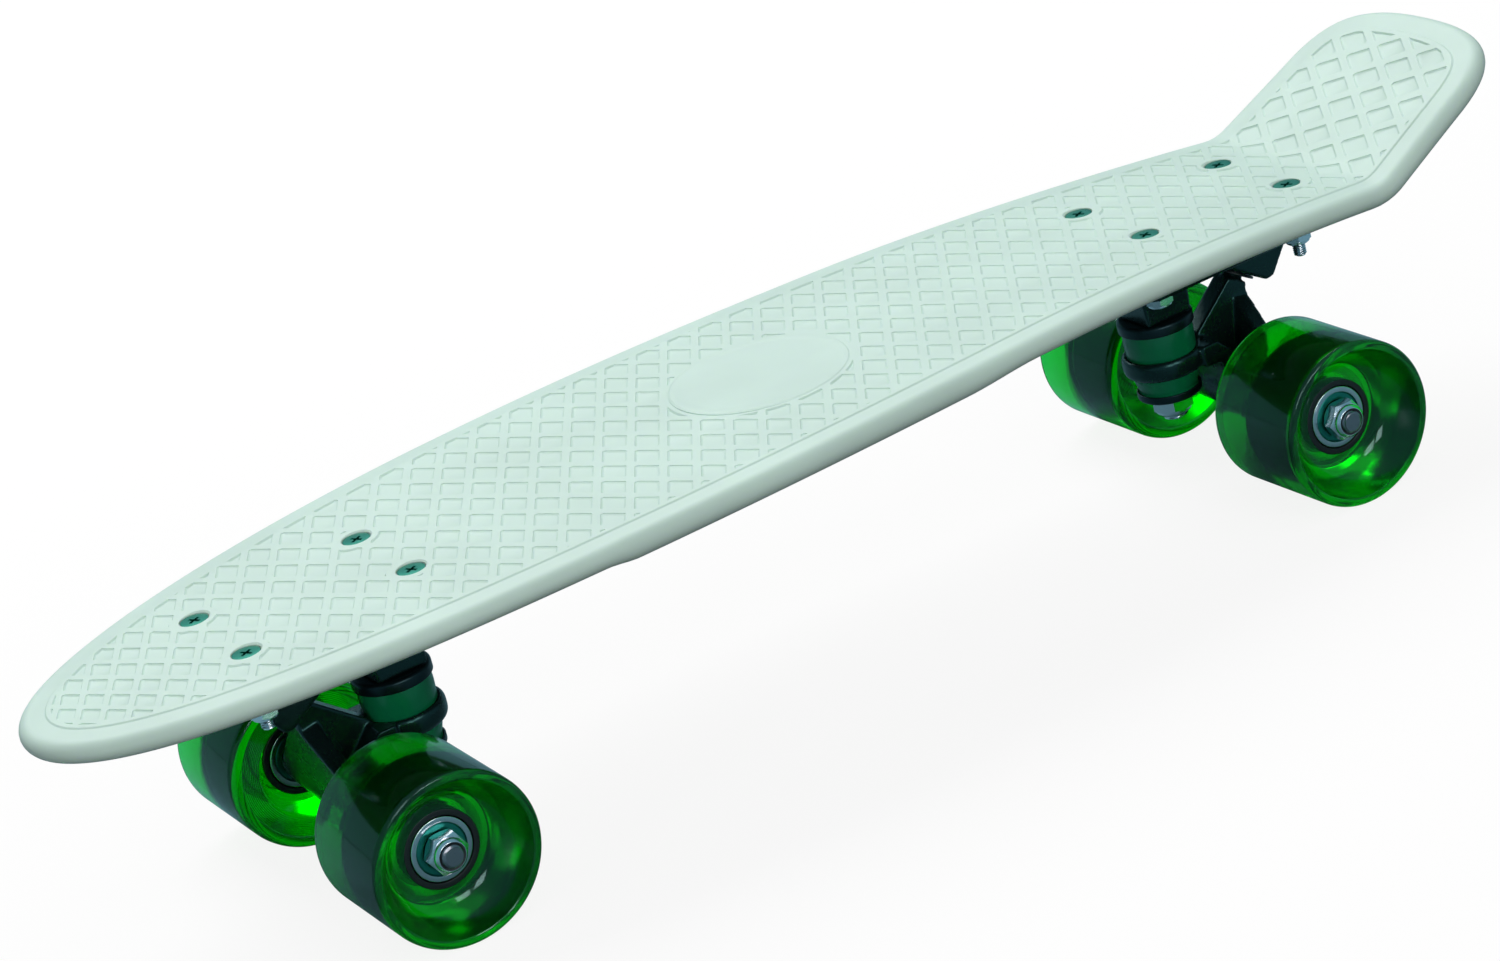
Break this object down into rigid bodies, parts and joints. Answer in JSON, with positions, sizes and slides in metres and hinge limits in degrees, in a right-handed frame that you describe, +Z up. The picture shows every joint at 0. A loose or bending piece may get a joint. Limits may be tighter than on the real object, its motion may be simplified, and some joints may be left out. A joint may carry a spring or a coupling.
{
  "type": "cruiser skateboard",
  "caption": "Small moulded plastic cruiser skateboard with a waffle top, a kicked tail, bushing trucks that lean and clear cast wheels that spin.",
  "frame": {"origin": "on the ground plane under the middle of the board's overall length and width", "axes": "+X from the nose to the kicked tail, +Z up, +Y to the right of a rider who faces the nose"},
  "size_m": [0.5782, 0.156, 0.1277],
  "materials": {
    "deck": "satin mint green moulded plastic",
    "truck_paint": "gloss black paint on cast metal and pressed steel",
    "cup_plastic": "black moulded plastic",
    "bushing_urethane": "dark clear green cast urethane",
    "wheel_urethane": "polished clear green cast urethane",
    "core_plastic": "black moulded plastic",
    "bearing_steel": "ground steel ring with a green shield",
    "bright_steel": "bright zinc plate",
    "bolt_green": "satin green coated steel"
  },
  "bodies": {
    "board": {"deck": "deck", "front_baseplate": "truck_paint", "front_pivot_cup": "cup_plastic", "front_kingpin": "bright_steel", "front_kingpin_nut": "bright_steel", "front_upper_washer": "truck_paint", "front_upper_bushing": "bushing_urethane", "front_lower_bushing": "bushing_urethane", "front_lower_washer": "truck_paint", "front_inner_left_bolt": "bolt_green", "front_inner_left_lock_nut": "bright_steel", "front_inner_right_bolt": "bolt_green", "front_inner_right_lock_nut": "bright_steel", "front_outer_left_bolt": "bolt_green", "front_outer_left_lock_nut": "bright_steel", "front_outer_right_bolt": "bolt_green", "front_outer_right_lock_nut": "bright_steel", "rear_baseplate": "truck_paint", "rear_pivot_cup": "cup_plastic", "rear_kingpin": "bright_steel", "rear_kingpin_nut": "bright_steel", "rear_upper_washer": "truck_paint", "rear_upper_bushing": "bushing_urethane", "rear_lower_bushing": "bushing_urethane", "rear_lower_washer": "truck_paint", "rear_inner_left_bolt": "bolt_green", "rear_inner_left_lock_nut": "bright_steel", "rear_inner_right_bolt": "bolt_green", "rear_inner_right_lock_nut": "bright_steel", "rear_outer_left_bolt": "bolt_green", "rear_outer_left_lock_nut": "bright_steel", "rear_outer_right_bolt": "bolt_green", "rear_outer_right_lock_nut": "bright_steel"},
    "front_hanger": {"front_hanger": "truck_paint", "front_axle": "bright_steel", "front_left_axle_nut": "bright_steel", "front_right_axle_nut": "bright_steel"},
    "front_left_wheel": {"front_left_tyre": "wheel_urethane", "front_left_core": "core_plastic", "front_left_inner_bearing": "bearing_steel", "front_left_outer_bearing": "bearing_steel"},
    "front_right_wheel": {"front_right_tyre": "wheel_urethane", "front_right_core": "core_plastic", "front_right_inner_bearing": "bearing_steel", "front_right_outer_bearing": "bearing_steel"},
    "rear_hanger": {"rear_hanger": "truck_paint", "rear_axle": "bright_steel", "rear_left_axle_nut": "bright_steel", "rear_right_axle_nut": "bright_steel"},
    "rear_left_wheel": {"rear_left_tyre": "wheel_urethane", "rear_left_core": "core_plastic", "rear_left_inner_bearing": "bearing_steel", "rear_left_outer_bearing": "bearing_steel"},
    "rear_right_wheel": {"rear_right_tyre": "wheel_urethane", "rear_right_core": "core_plastic", "rear_right_inner_bearing": "bearing_steel", "rear_right_outer_bearing": "bearing_steel"}
  },
  "joints": [
    {"name": "front_lean", "type": "hinge", "parent": "board", "child": "front_hanger", "pos_m": [-0.20469, 0, 0.0731], "axis": [0.8436, 0, -0.537], "range_deg": [-12, 12], "stiffness_Nm_per_rad": 70, "deforming": ["front_upper_bushing", "front_lower_bushing"]},
    {"name": "front_left_spin", "type": "hinge", "parent": "front_hanger", "child": "front_left_wheel", "pos_m": [-0.18959, -0.0553, 0.02976], "axis": [0, 1, 0], "continuous": true},
    {"name": "front_right_spin", "type": "hinge", "parent": "front_hanger", "child": "front_right_wheel", "pos_m": [-0.18959, 0.0553, 0.02976], "axis": [0, 1, 0], "continuous": true},
    {"name": "rear_lean", "type": "hinge", "parent": "board", "child": "rear_hanger", "pos_m": [0.18792, 0, 0.0731], "axis": [-0.8436, 0, -0.537], "range_deg": [-12, 12], "stiffness_Nm_per_rad": 70, "deforming": ["rear_upper_bushing", "rear_lower_bushing"]},
    {"name": "rear_left_spin", "type": "hinge", "parent": "rear_hanger", "child": "rear_left_wheel", "pos_m": [0.17281, -0.0553, 0.02976], "axis": [0, 1, 0], "continuous": true},
    {"name": "rear_right_spin", "type": "hinge", "parent": "rear_hanger", "child": "rear_right_wheel", "pos_m": [0.17281, 0.0553, 0.02976], "axis": [0, 1, 0], "continuous": true}
  ]
}
